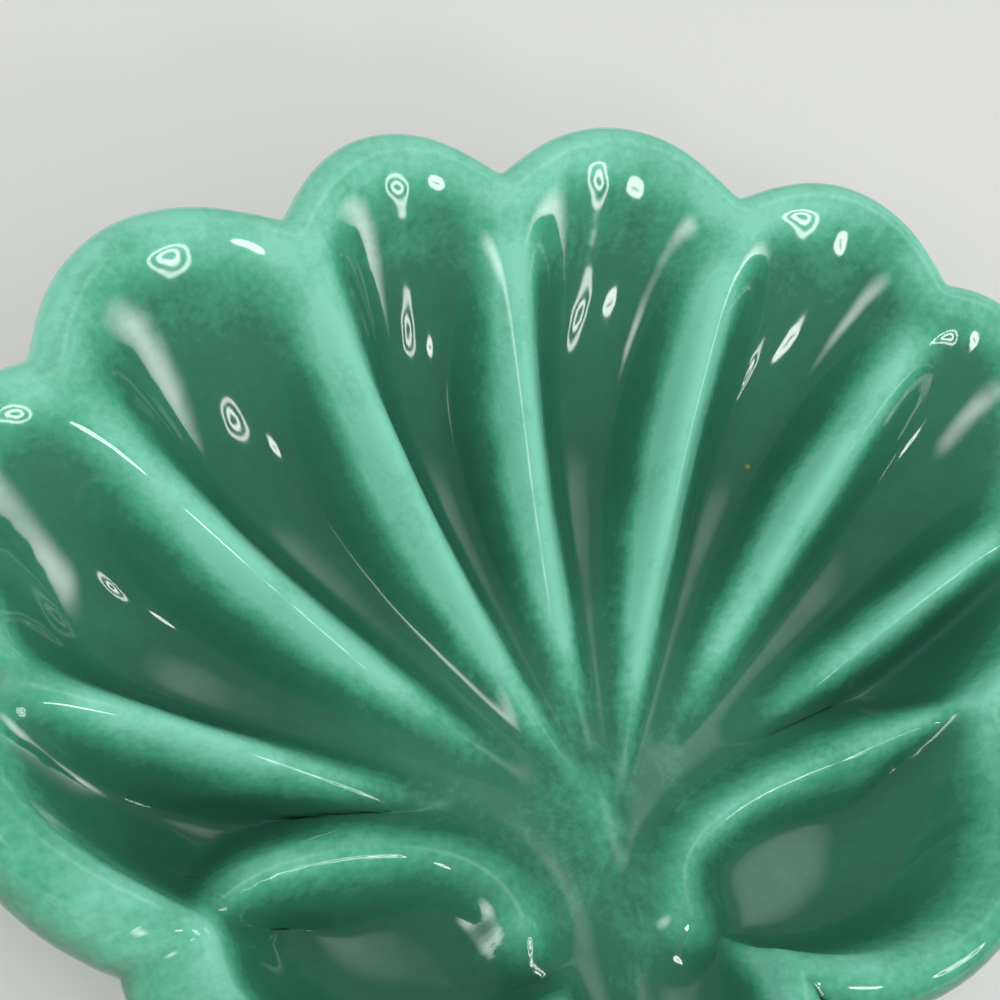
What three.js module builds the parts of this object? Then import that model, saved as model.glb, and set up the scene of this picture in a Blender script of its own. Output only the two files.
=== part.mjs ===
// Scallop-shell trinket dish in glazed slip-cast earthenware.
// Millimetres, +Z up. The flutes fan out towards +Y, the hinge of the shell lies towards -Y.
import * as THREE from 'three';

// Clay, lip and lobes.
const WALL = 5.8;             // clay thickness, the same in the floor, the wall and the rolled lip
const LOBE_BULGE = 6.8;       // how far a lobe stands out past the line through its two notches
const FLANK_BULGE = 4.5;      // the same for the last lobe on each side of the fan
const EAR_RIGHT_BULGE = 5.5;
const EAR_LEFT_BULGE = 3;
const HINGE_BULGE = 13;       // and for the tongue between the ears
const LOBE_RISE = 2;          // how much higher the middle of a lobe is than its notches
const HINGE_RISE = 1;
const NOTCH_SOFTNESS = 0.18;  // rounding of the notches, 0 would be a sharp cusp

// Hinge point to the inner edge of the lip at each notch. The casting isn't quite even.
const RADIUS_MIDDLE = 80.5;
const RADIUS_RIGHT_1 = 82.4;
const RADIUS_RIGHT_2 = 86;
const RADIUS_RIGHT_3 = 74;
const RADIUS_RIGHT_EAR = 50;
const RADIUS_RIGHT_HINGE = 22.3;
const RADIUS_LEFT_HINGE = 25.1;
const RADIUS_LEFT_EAR = 53.5;
const RADIUS_LEFT_3 = 75;
const RADIUS_LEFT_2 = 83.4;
const RADIUS_LEFT_1 = 79.8;

// Floor of the bowl to the lip at the notches: middle of the fan, its shoulders, its flanks, ears, hinge.
const HEIGHT_FAN = 32.5;
const HEIGHT_SHOULDER = 31;
const HEIGHT_FLANK = 21;
const HEIGHT_EAR = 16.6;
const HEIGHT_HINGE = 10.7;

// How far from the hinge point each ridge between two flutes leaves the floor.
const START_MIDDLE = 10.5;
const START_1 = 6.6;
const START_2 = 12;
const START_3 = 20.5;

// How steeply the wall turns up to the lip, inside the bowl. A higher power keeps the floor flat for longer.
const STEEP_FAN = 4.1;
const STEEP_SHOULDER = 4.3;
const STEEP_RIGHT_FLANK = 5.2;
const STEEP_LEFT_FLANK = 6;
const STEEP_RIGHT_EAR = 5.6;
const STEEP_LEFT_EAR = 7.5;
const STEEP_HINGE = 8;
// The outside follows the inside, but is steeper at the flanks and beside the ears.
const OUTSIDE_FLANK = 6;
const OUTSIDE_EAR = 8;

// Notches of the rim, clockwise from the middle of the fan: angle from +Y, radius, height, ridge start,
// steepness inside and outside.
const NOTCHES = [
  [0, RADIUS_MIDDLE, HEIGHT_FAN, START_MIDDLE, STEEP_FAN, STEEP_FAN],
  [24.5, RADIUS_RIGHT_1, HEIGHT_FAN, START_1, STEEP_FAN, STEEP_FAN],
  [46.9, RADIUS_RIGHT_2, HEIGHT_SHOULDER, START_2, STEEP_SHOULDER, STEEP_SHOULDER],
  [68.5, RADIUS_RIGHT_3, HEIGHT_FLANK, START_3, STEEP_RIGHT_FLANK, OUTSIDE_FLANK],
  [87, RADIUS_RIGHT_EAR, HEIGHT_EAR, 0, STEEP_RIGHT_EAR, OUTSIDE_EAR],
  [151, RADIUS_RIGHT_HINGE, HEIGHT_HINGE, 0, STEEP_HINGE, STEEP_HINGE],
  [219, RADIUS_LEFT_HINGE, HEIGHT_HINGE, 0, STEEP_HINGE, STEEP_HINGE],
  [266, RADIUS_LEFT_EAR, HEIGHT_EAR, 0, STEEP_LEFT_EAR, OUTSIDE_EAR],
  [290.5, RADIUS_LEFT_3, HEIGHT_FLANK, START_3, STEEP_LEFT_FLANK, OUTSIDE_FLANK],
  [313.2, RADIUS_LEFT_2, HEIGHT_SHOULDER, START_2, STEEP_SHOULDER, STEEP_SHOULDER],
  [337.9, RADIUS_LEFT_1, HEIGHT_FAN, START_1, STEEP_FAN, STEEP_FAN],
];
const FIRST_EAR = 4;
const TONGUE = 5;
const LAST_EAR_END = 7;
const BULGES = [
  LOBE_BULGE, LOBE_BULGE, LOBE_BULGE, FLANK_BULGE, EAR_RIGHT_BULGE, HINGE_BULGE,
  EAR_LEFT_BULGE, FLANK_BULGE, LOBE_BULGE, LOBE_BULGE, LOBE_BULGE,
];

// Flutes and the ridges between them.
const VALLEY_START = 0.22;    // share of the way to the rim where the floor of a flute starts to climb
const LIP_ROLL = 0.16;        // how much the wall leans back outwards just under the lip
const LIP_ROLL_POWER = 16;
const RIDGE_POWER = 1.5;
const RIDGE_GAP = 20;         // flutes wider than this have a floor between the ridges
const FLANK_NARROW = 2.2;     // the last ridge on each side is narrower
const FLANK_EARLY = 0.9;      // and makes more of its climb early
const UNDER_RIDGE = 0.65;     // how much of a ridge shows as a groove on the outside
const UNDER_NARROW = 0.5;
const UNDER_FROM = 0.42;      // shares of the way to the rim where the groove starts and is full
const UNDER_FULL = 0.8;

// The two ear pockets: an oval each, whose crest is a rounded ridge.
const EAR_HOOK = 5;           // height of the ridge where it hooks round the inner end of its pocket
const EAR_RIDGE = 14.5;       // height of the ridge out at the rim
const EAR_RIDGE_WIDTH = 4.6;  // half width of that rounded ridge
const EAR_RIGHT_OUT = 36;     // middle of the oval from the axis of the shell
const EAR_RIGHT_BACK = 9.7;   // middle of the oval behind the hinge point
const EAR_RIGHT_HALF_LENGTH = 31.5;
const EAR_RIGHT_HALF_BREADTH = 12.2;
const EAR_LEFT_OUT = 37.5;
const EAR_LEFT_BACK = 10.2;
const EAR_LEFT_HALF_LENGTH = 20.5;
const EAR_LEFT_HALF_BREADTH = 13.8;
const EARS = [
  {
    side: 1, x: EAR_RIGHT_OUT, y: -EAR_RIGHT_BACK, turn: 0.1, squareness: 2.8,
    along: EAR_RIGHT_HALF_LENGTH, across: EAR_RIGHT_HALF_BREADTH,
  },
  {
    side: -1, x: -EAR_LEFT_OUT, y: -EAR_LEFT_BACK, turn: 0.03, squareness: 2.35,
    along: EAR_LEFT_HALF_LENGTH, across: EAR_LEFT_HALF_BREADTH,
  },
];
const EAR_UNION = 6;          // sharpness of the join between an ear ridge and the wall
const EAR_WEB = 6;            // clay that fills the outside of the notch beside each ear
const EAR_WEB_DROP = 6;       // how far the lip rolls down over it
const EAR_WEB_SPREAD = THREE.MathUtils.degToRad(10);
const WEB_AT_LIP = 0.45;      // share of the web that is there at the lip already
const WEB_FULL = 0.7;         // shares of the way from foot to lip: the web is full here
const WEB_ENDS = 0.15;        // and has run out here

// Small forms of the floor.
const HUB_RISE = 1;           // soft swelling where the flutes run together
const HUB_SPREAD = 8.5;
const HUB_AHEAD = 4;
const HUB_LEFT = 1;
const STRIPE_RISE = 0.8;      // faint raised stripe along the tongue
const STRIPE_SPREAD = 2.6;
const STRIPE_LEFT = 1.5;
const STRIPE_LEAN = 0.12;
const STRIPE_FROM = 14;       // it fades in from here ahead of the hinge point
const STRIPE_FULL = 2;
const STRIPE_FADES = 22;      // and fades out this far behind it
const STRIPE_ENDS = 34;

// Foot ring and glaze.
const FOOT_LENGTH = 72;       // outside of the oval foot ring, across the dish
const FOOT_DEPTH = 50;        // outside of the oval foot ring, hinge to fan
const FOOT_WIDTH = 5;         // breadth of the ring that stands on the table
const FOOT_HEIGHT = 2.2;      // how far the ring stands below the floor
const FOOT_FORWARD = 12.15;   // middle of the ring ahead of the hinge point
const GLAZE_THIN = 0.35;      // glass left on crests and on the lip
const GLAZE_POOLED = 0.85;    // glass that ran down into the flutes
const GLAZE_CUT_BACK = 0.7;   // bare clay wiped clean beside the foot ring

// Fineness of the surface.
const STEPS_PER_LOBE = 8;
const STEPS_PER_EAR = 12;
const INNER_ROWS = 12;
const LIP_ROWS = 4;
const OUTER_ROWS = 7;

const TAU = Math.PI * 2;
const LOBES = NOTCHES.length;
const notchAngle = NOTCHES.map((row) => THREE.MathUtils.degToRad(row[0]));

// Share of the way from a to b, clamped and eased at both ends.
function ease(a, b, x) {
  const u = THREE.MathUtils.clamp((x - a) / (b - a), 0, 1);
  return u * u * (3 - 2 * u);
}

// Which lobe an angle falls in, and how far across that lobe it is.
function lobeAt(phi) {
  const a = ((phi % TAU) + TAU) % TAU;
  let i = LOBES - 1;
  while (i > 0 && notchAngle[i] > a + 1e-12) i -= 1;
  const next = (i + 1) % LOBES;
  const end = next === 0 ? TAU : notchAngle[next];
  return { i, next, u: (a - notchAngle[i]) / (end - notchAngle[i]) };
}

// Radius and height of the inner edge of the lip at an angle: an eased way from notch to notch, straight
// at the right ear, plus an arch over the lobe that is rounded where it meets the notches.
function edgeAt(phi) {
  const { i, next, u } = lobeAt(phi);
  const way = i === FIRST_EAR ? u : ease(0, 1, u);
  const full = Math.hypot(1, NOTCH_SOFTNESS) - NOTCH_SOFTNESS;
  const arch = (Math.hypot(Math.sin(Math.PI * u), NOTCH_SOFTNESS) - NOTCH_SOFTNESS) / full;
  const rise = i === TONGUE ? HINGE_RISE : LOBE_RISE;
  const radius = THREE.MathUtils.lerp(NOTCHES[i][1], NOTCHES[next][1], way);
  const height = THREE.MathUtils.lerp(NOTCHES[i][2], NOTCHES[next][2], way);
  return { radius: radius + BULGES[i] * arch, height: height + rise * arch };
}

// Height of the rounded ridge that runs round an ear pocket. It is highest at the rim, lower where it
// hooks round the inner end, and fades out on the side of the tongue.
function earRidge(ear, x, y) {
  const dx = x - ear.x;
  const dy = y - ear.y;
  const p = Math.cos(ear.turn) * dx + Math.sin(ear.turn) * dy;
  const q = Math.cos(ear.turn) * dy - Math.sin(ear.turn) * dx;
  const reach = Math.hypot(p, q) + 1e-6;
  const n = ear.squareness;
  const level = (Math.abs(p / ear.along) ** n + Math.abs(q / ear.across) ** n) ** (1 / n);
  const off = reach - reach / Math.max(level, 1e-7);
  const climb = THREE.MathUtils.lerp(EAR_HOOK, EAR_RIDGE, ease(-1, 1, (ear.side * p) / ear.along));
  return climb * ease(-0.6, 0.15, q / ear.across) * Math.exp(-((off / EAR_RIDGE_WIDTH) ** 2));
}

// A point of the bowl: s runs from the hinge point (0) to the lip (1), phi goes round.
// With carrier true the ridges are softened, which gives the sheet that the underside follows.
function bowl(s, phi, carrier) {
  const { radius, height } = edgeAt(phi);
  const { i, next, u } = lobeAt(phi);
  const r = s * radius;
  const x = r * Math.sin(phi);
  const y = r * Math.cos(phi);
  const climb = Math.max(0, (s - VALLEY_START) / (1 - VALLEY_START));
  const column = carrier ? 5 : 4;
  const power = THREE.MathUtils.lerp(NOTCHES[i][column], NOTCHES[next][column], ease(0, 1, u));
  const valley = (1 + LIP_ROLL) * climb ** power - LIP_ROLL * climb ** LIP_ROLL_POWER;
  const near = u < 0.5 ? i : next;
  const fluted = near < FIRST_EAR || near > LAST_EAR_END;
  const flank = near === FIRST_EAR - 1 || near === LAST_EAR_END + 1;
  const start = NOTCHES[near][3] / radius;
  const way = Math.max(0, (s - start) / (1 - start));
  const ridge = way ** RIDGE_POWER * (1 + (flank ? FLANK_EARLY * (1 - way) : 0));
  const gap = (r * ((notchAngle[next] - notchAngle[i] + TAU) % TAU)) / RIDGE_GAP;
  const insideNarrow = flank ? FLANK_NARROW : 1;
  const crest = ((1 + Math.cos(TAU * u)) / 2) ** (1 + (carrier ? UNDER_NARROW : insideNarrow) * gap ** 2);
  const softened = carrier ? UNDER_RIDGE * ease(UNDER_FROM, UNDER_FULL, s) : 1;
  let z = height * (valley + (fluted ? (ridge - valley) * crest * softened : 0));
  if (!carrier) {
    const ears = EARS.map((ear) => earRidge(ear, x, y) ** EAR_UNION);
    z = (z ** EAR_UNION + ears[0] + ears[1]) ** (1 / EAR_UNION);
    const stripe = x + STRIPE_LEFT - STRIPE_LEAN * Math.min(y, 0);
    const length = ease(STRIPE_FROM, STRIPE_FULL, y) * ease(-STRIPE_ENDS, -STRIPE_FADES, y);
    z += STRIPE_RISE * Math.exp(-((stripe / STRIPE_SPREAD) ** 2)) * length;
    z += HUB_RISE * Math.exp(-(((x + HUB_LEFT) ** 2 + (y - HUB_AHEAD) ** 2) / HUB_SPREAD ** 2));
  }
  return new THREE.Vector3(x, y, z);
}

// Upward normal of the bowl or of its carrier.
function bowlNormal(s, phi, carrier) {
  const h = 1e-3;
  const s0 = Math.min(s, 1 - h);
  const alongS = bowl(s0 + h, phi, carrier).sub(bowl(s0 - h, phi, carrier));
  const alongPhi = bowl(s0, phi + h, carrier).sub(bowl(s0, phi - h, carrier));
  const normal = new THREE.Vector3().crossVectors(alongPhi, alongS).normalize();
  return normal.z < 0 ? normal.negate() : normal;
}

// Step that carries a point to a parallel surface without leaving the upright plane through the hinge
// axis at its angle. The step is longer where the surface runs askew to that plane.
function plumbStep(direction, phi, distance) {
  const sideways = new THREE.Vector3(Math.cos(phi), -Math.sin(phi), 0);
  const step = direction.clone().addScaledVector(sideways, -direction.dot(sideways));
  const share = step.length();
  return step.multiplyScalar(distance / (share * Math.max(share, 0.6)));
}

// Angles round the dish, crowded a little at the notches.
const angles = [];
for (let i = 0; i < LOBES; i += 1) {
  const end = i + 1 === LOBES ? TAU : notchAngle[i + 1];
  const ear = i === TONGUE - 1 || i === TONGUE + 1;
  const steps = ear ? STEPS_PER_EAR : STEPS_PER_LOBE;
  for (let k = 0; k < steps; k += 1) {
    const u = k / steps;
    const crowded = u - (0.35 * Math.sin(TAU * u)) / TAU;
    angles.push(notchAngle[i] + crowded * (end - notchAngle[i]));
  }
}

// Distance from the hinge point to an oval round the middle of the foot, along an angle.
function ovalAt(phi, halfLength, halfDepth) {
  const dx = Math.sin(phi) / halfLength;
  const dy = Math.cos(phi) / halfDepth;
  const back = FOOT_FORWARD / halfDepth;
  const a = dx * dx + dy * dy;
  const b = dy * back;
  return (b + Math.sqrt(b * b - a * (back * back - 1))) / a;
}
const oval = (margin) => (phi) => ovalAt(phi, FOOT_LENGTH / 2 + margin, FOOT_DEPTH / 2 + margin);
const ringAt = (radius, z) => angles.map((phi) => (
  new THREE.Vector3(radius(phi) * Math.sin(phi), radius(phi) * Math.cos(phi), z)
));

// Rows of points over the skin of the clay: up the bowl, over the lip, down the underside to the
// bare band beside the foot.
const rows = [];
for (let k = 1; k <= INNER_ROWS; k += 1) {
  const s = Math.pow(k / INNER_ROWS, 0.85);
  rows.push(angles.map((phi) => bowl(s, phi, false)));
}
const glazeEnd = oval(GLAZE_CUT_BACK);
const under = (share) => angles.map((phi) => {
  const last = glazeEnd(phi) / edgeAt(phi).radius;
  const s = THREE.MathUtils.lerp(last, 1, share);
  const point = bowl(s, phi, true).sub(plumbStep(bowlNormal(s, phi, true), phi, WALL));
  const [right, left] = [FIRST_EAR, LAST_EAR_END].map((n) => (
    Math.exp(-(((phi - notchAngle[n]) / EAR_WEB_SPREAD) ** 2))
  ));
  const low = THREE.MathUtils.clamp((1 - share) / (1 - WEB_FULL), 0, 1);
  const full = THREE.MathUtils.lerp(WEB_AT_LIP, 1, low * (2 - low)) * ease(WEB_ENDS, WEB_FULL, share);
  const web = EAR_WEB * (right + left) * full;
  const drop = EAR_WEB_DROP * (right + left) * ease(WEB_FULL, 1, share);
  return point.add(new THREE.Vector3(Math.sin(phi) * web, Math.cos(phi) * web, -drop));
});
const edge = rows[INNER_ROWS - 1];
const outside = under(1);
for (let j = 1; j < LIP_ROWS; j += 1) {
  const turn = (Math.PI * j) / LIP_ROWS;
  rows.push(edge.map((point, n) => {
    const before = edge[(n + angles.length - 1) % angles.length];
    const after = edge[(n + 1) % angles.length];
    const half = point.clone().sub(outside[n]).multiplyScalar(0.5);
    const middle = point.clone().add(outside[n]).multiplyScalar(0.5);
    const out = half.clone().cross(after.clone().sub(before)).normalize();
    middle.addScaledVector(half, Math.cos(turn));
    return middle.addScaledVector(plumbStep(out, angles[n], WALL / 2), Math.sin(turn));
  }));
}
for (let k = OUTER_ROWS; k >= 0; k -= 1) {
  rows.push(k === OUTER_ROWS ? outside : under(k / OUTER_ROWS));
}
const coatedRows = rows.length;

// The foot ring and the flat well inside it.
const standing = -WALL - FOOT_HEIGHT;
const wellEnd = oval(-FOOT_WIDTH - GLAZE_CUT_BACK);
const footOuter = ringAt(oval(0), standing);
const footTop = angles.map((phi, n) => {
  const point = footOuter[n].clone();
  point.z = rows[coatedRows - 1][n].z;
  return point;
});
rows.push(footTop, footOuter);
rows.push(ringAt(oval(-FOOT_WIDTH), standing), ringAt(oval(-FOOT_WIDTH), -WALL));
rows.push(ringAt(wellEnd, -WALL));
const topPoint = bowl(0, 0, false);
const wellPoint = new THREE.Vector3(0, 0, -WALL);

// One closed skin from rows that run between two end points. From the row named turned onwards the
// rows run backwards over a neighbour's skin, so their squares are halved along the other diagonal.
function closedSkin(first, skinRows, last, turned = Infinity) {
  const count = angles.length;
  const points = [first, ...skinRows.flat(), last];
  const index = [];
  const at = (row, n) => 1 + row * count + (n % count);
  for (let n = 0; n < count; n += 1) {
    index.push(0, at(0, n + 1), at(0, n));
    for (let row = 0; row + 1 < skinRows.length; row += 1) {
      const [a, b, c, d] = [at(row, n), at(row, n + 1), at(row + 1, n), at(row + 1, n + 1)];
      if (row < turned) index.push(a, b, c, b, d, c);
      else index.push(a, b, d, a, d, c);
    }
    index.push(at(skinRows.length - 1, n), at(skinRows.length - 1, n + 1), points.length - 1);
  }
  const geometry = new THREE.BufferGeometry();
  geometry.setAttribute('position', new THREE.Float32BufferAttribute(points.flatMap((p) => p.toArray()), 3));
  geometry.setIndex(index);
  geometry.computeVertexNormals();
  return geometry;
}
const claySkin = closedSkin(topPoint, rows, wellPoint);

// Glaze: the clay skin pushed out by the local thickness of the glass. Glass runs off crests and
// off the lip and pools where the bowl is hollow.
const clayNormal = (v) => new THREE.Vector3().fromBufferAttribute(claySkin.attributes.normal, v);
const coatOver = (row, k) => row.map((point, n) => {
  const { u } = lobeAt(angles[n]);
  const hollow = k < INNER_ROWS - 1 ? (1 - Math.cos(TAU * u)) / 2 : 0;
  const glass = THREE.MathUtils.lerp(GLAZE_THIN, GLAZE_POOLED, hollow);
  return point.clone().addScaledVector(clayNormal(1 + k * angles.length + n), glass);
});
const glazed = rows.slice(0, coatedRows);
const coatTop = topPoint.clone();
coatTop.z += (GLAZE_THIN + GLAZE_POOLED) / 2;
const coatRows = [...glazed.map(coatOver), ...glazed.slice().reverse()];
const glazeSkin = closedSkin(coatTop, coatRows, topPoint, coatedRows);

// Glaze in the well inside the foot ring.
const wellRow = rows[rows.length - 1];
const lower = (point) => new THREE.Vector3(point.x, point.y, -WALL - GLAZE_THIN);
const wellSkin = closedSkin(wellPoint, [wellRow, wellRow.map(lower)], lower(wellPoint));

const bareClay = new THREE.MeshStandardMaterial({ color: 0xe6dccb, roughness: 0.85, metalness: 0 });
const greenGlaze = new THREE.MeshStandardMaterial({ color: 0x2f7d5c, roughness: 0.08, metalness: 0 });
const wellGlaze = new THREE.MeshStandardMaterial({ color: 0x2f7d5c, roughness: 0.1, metalness: 0 });

const dish = new THREE.Group();
dish.name = 'shell_dish';
function addPart(name, skin, material) {
  const mesh = new THREE.Mesh(skin, material);
  mesh.name = name;
  dish.add(mesh);
}
addPart('clay_body', claySkin, bareClay);
addPart('glaze_coat', glazeSkin, greenGlaze);
addPart('foot_well_glaze', wellSkin, wellGlaze);

// The frame sits on the table under the middle of the dish.
const box = new THREE.Box3().setFromObject(dish);
const middle = box.getCenter(new THREE.Vector3());
dish.position.set(-middle.x, -middle.y, -box.min.z);
dish.updateMatrixWorld(true);

export default dish;
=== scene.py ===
# %% [markdown]
# # A scallop-shell trinket dish in green glaze
# The dish is one casting of pale earthenware with glass melted over it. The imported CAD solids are
# loaded first and stay fixed: they give the size and the place of everything that follows. Each solid
# then gets a finer skin, worked out from the same formulas, so the flutes and the lip look as smooth
# as poured glass.

# %% Load the frame
import bpy
import numpy as np
from mathutils import Matrix, Vector


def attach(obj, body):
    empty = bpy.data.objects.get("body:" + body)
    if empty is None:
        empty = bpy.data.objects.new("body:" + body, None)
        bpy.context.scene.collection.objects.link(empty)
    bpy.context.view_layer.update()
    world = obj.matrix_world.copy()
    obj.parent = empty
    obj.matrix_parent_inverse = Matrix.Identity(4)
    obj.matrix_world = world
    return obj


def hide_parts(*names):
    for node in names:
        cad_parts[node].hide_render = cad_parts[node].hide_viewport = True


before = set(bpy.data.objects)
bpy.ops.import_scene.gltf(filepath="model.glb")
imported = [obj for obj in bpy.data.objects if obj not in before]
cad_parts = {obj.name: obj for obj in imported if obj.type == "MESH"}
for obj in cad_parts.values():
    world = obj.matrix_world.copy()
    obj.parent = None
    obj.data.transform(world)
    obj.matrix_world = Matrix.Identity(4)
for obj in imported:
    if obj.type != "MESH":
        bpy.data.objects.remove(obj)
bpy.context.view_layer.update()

# %% [markdown]
# ## The camera
# The photo looks steeply down into the bowl from the hinge side, tilted, and so close that the rim and
# the tongue run out of the picture. A camera could be aimed by eye, but this one was placed by matching
# the notches of the rim and the ends of the ridges. So it is written relative to the hinge point, where
# all the flutes meet.

# %% Camera
MM = 0.001
TAU = 2 * np.pi
HINGE_POINT = np.array([0.099, -24.598, 8.0])      # where the flutes meet, on the clay floor
CAMERA_PLACE = np.array([-64.36, -27.72, 150.29])  # from the hinge point
CAMERA_YAW, CAMERA_PITCH, CAMERA_ROLL = np.radians([-38.76, 56.11, 26.55])
SENSOR_WIDTH = 36.0
FOCAL_SHARE = 1.2208                               # focal length as a share of the picture's width
NEAREST_SEEN = 0.01                                # metres


def camera_axes(yaw, pitch, roll):
    """Right, up and forward of a camera that looks along +Y and is turned by yaw, tipped down by pitch,
    then rolled."""
    ahead = np.array([-np.sin(yaw) * np.cos(pitch), np.cos(yaw) * np.cos(pitch), -np.sin(pitch)])
    level = np.array([np.cos(yaw), np.sin(yaw), 0.0])
    above = np.cross(level, ahead)
    right = np.cos(roll) * level + np.sin(roll) * above
    return right, np.cross(right, ahead), ahead


right, above, ahead = camera_axes(CAMERA_YAW, CAMERA_PITCH, CAMERA_ROLL)
lens = bpy.data.cameras.new("photo_camera")
lens.sensor_width = SENSOR_WIDTH
lens.lens = SENSOR_WIDTH * FOCAL_SHARE
lens.clip_start = NEAREST_SEEN
camera = bpy.data.objects.new("photo_camera", lens)
turn = Matrix(np.column_stack([right, above, -ahead]).tolist()).to_4x4()
camera.matrix_world = Matrix.Translation(Vector((HINGE_POINT + CAMERA_PLACE) * MM)) @ turn
bpy.context.scene.collection.objects.link(camera)
bpy.context.scene.camera = camera
print("camera at", [round(v, 4) for v in camera.location], "lens", round(lens.lens, 2))

# %% [markdown]
# ## The shape of the shell
# A scallop is easiest in polar form: an angle that goes round the hinge point, and a share that runs
# from the hinge point out to the lip. Eleven notches divide the rim into eight flutes, two ears and the
# tongue. The shell could be sculpted by hand, but a formula keeps this skin on the CAD model. The sizes
# are those of that model, in millimetres.

# %% Sizes of the shell
WALL = 5.8                    # clay in the floor, the wall and the rolled lip
LOBE_BULGE, FLANK_BULGE = 6.8, 4.5
RIGHT_EAR_BULGE, HINGE_BULGE, LEFT_EAR_BULGE = 5.5, 13.0, 3.0
LOBE_RISE, HINGE_RISE = 2.0, 1.0
NOTCH_SOFTNESS = 0.18         # rounding of the notches, 0 is a sharp cusp
FIRST_EAR, TONGUE, LAST_EAR_END = 4, 5, 7
# One value per notch: from the middle of the fan to the right, past the hinge and up the left side.
NOTCH_ANGLE = np.radians([0, 24.5, 46.9, 68.5, 87, 151, 219, 266, 290.5, 313.2, 337.9])
NOTCH_RADIUS = np.array([80.5, 82.4, 86, 74, 50, 22.3, 25.1, 53.5, 75, 83.4, 79.8])
NOTCH_HEIGHT = np.array([32.5, 32.5, 31, 21, 16.6, 10.7, 10.7, 16.6, 21, 31, 32.5])
WALL_POWER = np.array([4.1, 4.1, 4.3, 5.2, 5.6, 8.0, 8.0, 7.5, 6.0, 4.3, 4.1])   # higher is steeper
OUTSIDE_POWER = np.array([4.1, 4.1, 4.3, 6, 8, 8, 8, 8, 6, 4.3, 4.1])
RIDGE_START = np.array([10.5, 6.6, 12, 20.5, 0, 0, 0, 0, 20.5, 12, 6.6])
RIDGE_NARROW = np.array([1, 1, 1, 2.2, 1, 1, 1, 1, 2.2, 1, 1])
RIDGE_EARLY = np.array([0, 0, 0, 0.9, 0, 0, 0, 0, 0.9, 0, 0])   # share of its climb made early
# One value per lobe, in the same order.
FAN_BULGES = [LOBE_BULGE] * 3
EAR_BULGES = [RIGHT_EAR_BULGE, HINGE_BULGE, LEFT_EAR_BULGE]
BULGE = np.array(FAN_BULGES + [FLANK_BULGE] + EAR_BULGES + [FLANK_BULGE] + FAN_BULGES)
print("rim from", NOTCH_HEIGHT.min(), "to", NOTCH_HEIGHT.max(), "mm above the floor at the notches")

# %% [markdown]
# ## The scalloped edge
# Seen from above, the lip is a row of arches. A curve could be drawn through points, but half a sine
# wave between two notches gives each lobe with one size, its bulge. A small term under the root keeps
# the notches from coming to a sharp point, as poured clay never does.

# %% Edge of the lip


def ease(a, b, x):
    """Share of the way from a to b, clamped to 0..1 and slowed at both ends."""
    u = np.clip((x - a) / (b - a), 0, 1)
    return u * u * (3 - 2 * u)


def mix(a, b, t):
    """Straight mix: a at t = 0, b at t = 1."""
    return a + (b - a) * t


def lobe_at(phi):
    """For each angle: the notch before it, the notch after it, and the share of the way between them."""
    a = np.mod(phi, TAU)
    before = np.searchsorted(NOTCH_ANGLE, a + 1e-12, side="right") - 1
    after = (before + 1) % len(NOTCH_ANGLE)
    end = np.where(after == 0, TAU, NOTCH_ANGLE[after])
    return before, after, (a - NOTCH_ANGLE[before]) / (end - NOTCH_ANGLE[before])


def lip_edge(phi):
    """Radius and height of the lip's inner edge: a line between two notches plus an arch over the lobe."""
    i, j, u = lobe_at(phi)
    e = NOTCH_SOFTNESS
    way = np.where(i == FIRST_EAR, u, ease(0, 1, u))
    arch = (np.sqrt(np.sin(np.pi * u) ** 2 + e * e) - e) / (np.sqrt(1 + e * e) - e)
    rise = np.where(i == TONGUE, HINGE_RISE, LOBE_RISE)
    radius = mix(NOTCH_RADIUS[i], NOTCH_RADIUS[j], way) + BULGE[i] * arch
    height = mix(NOTCH_HEIGHT[i], NOTCH_HEIGHT[j], way) + rise * arch
    return radius, height


print("lip over the first flute:", [round(float(v), 1) for v in lip_edge(NOTCH_ANGLE[1] / 2)], "mm")

# %% [markdown]
# ## Ear ridges and small forms
# Beside the hinge lie two closed pockets. The ridge that closes each one runs round a squarish oval,
# high at the rim and low where it hooks round the inner end. It could be a tube swept along that oval,
# but a bell-shaped rise in the height of the floor leaves no seam where the ridge dies away.

# %% Ear ridges, stripe and hub
EAR_HOOK, EAR_RIDGE, EAR_RIDGE_WIDTH = 5.0, 14.5, 4.6
EAR_OPEN, EAR_CLOSED = -0.6, 0.15     # shares across the oval between which its ridge comes up
EARS = (
    dict(side=1, out=36.0, back=9.7, along=31.5, across=12.2, turn=0.10, squareness=2.8),
    dict(side=-1, out=37.5, back=10.2, along=20.5, across=13.8, turn=0.03, squareness=2.35),
)
HUB_RISE, HUB_SPREAD, HUB_AHEAD, HUB_LEFT = 1.0, 8.5, 4.0, 1.0
STRIPE_RISE, STRIPE_SPREAD, STRIPE_LEFT, STRIPE_LEAN = 0.8, 2.6, 1.5, 0.12
STRIPE_FROM, STRIPE_FULL, STRIPE_FADES, STRIPE_ENDS = 14, 2, -22, -34
TINY = 1e-6                           # keeps a division from meeting 0


def ear_ridge(x, y, side, out, back, along, across, turn, squareness):
    """Height = crest x a bell of the distance to a squarish oval; the crest climbs to the outer end."""
    p = np.cos(turn) * (x - side * out) + np.sin(turn) * (y + back)
    q = np.cos(turn) * (y + back) - np.sin(turn) * (x - side * out)
    reach = np.hypot(p, q) + TINY
    level = ((np.abs(p) / along) ** squareness + (np.abs(q) / across) ** squareness) ** (1 / squareness)
    off = reach - reach / np.maximum(level, TINY)
    crest = mix(EAR_HOOK, EAR_RIDGE, ease(-1, 1, side * p / along)) * ease(EAR_OPEN, EAR_CLOSED, q / across)
    return crest * np.exp(-((off / EAR_RIDGE_WIDTH) ** 2))


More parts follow.
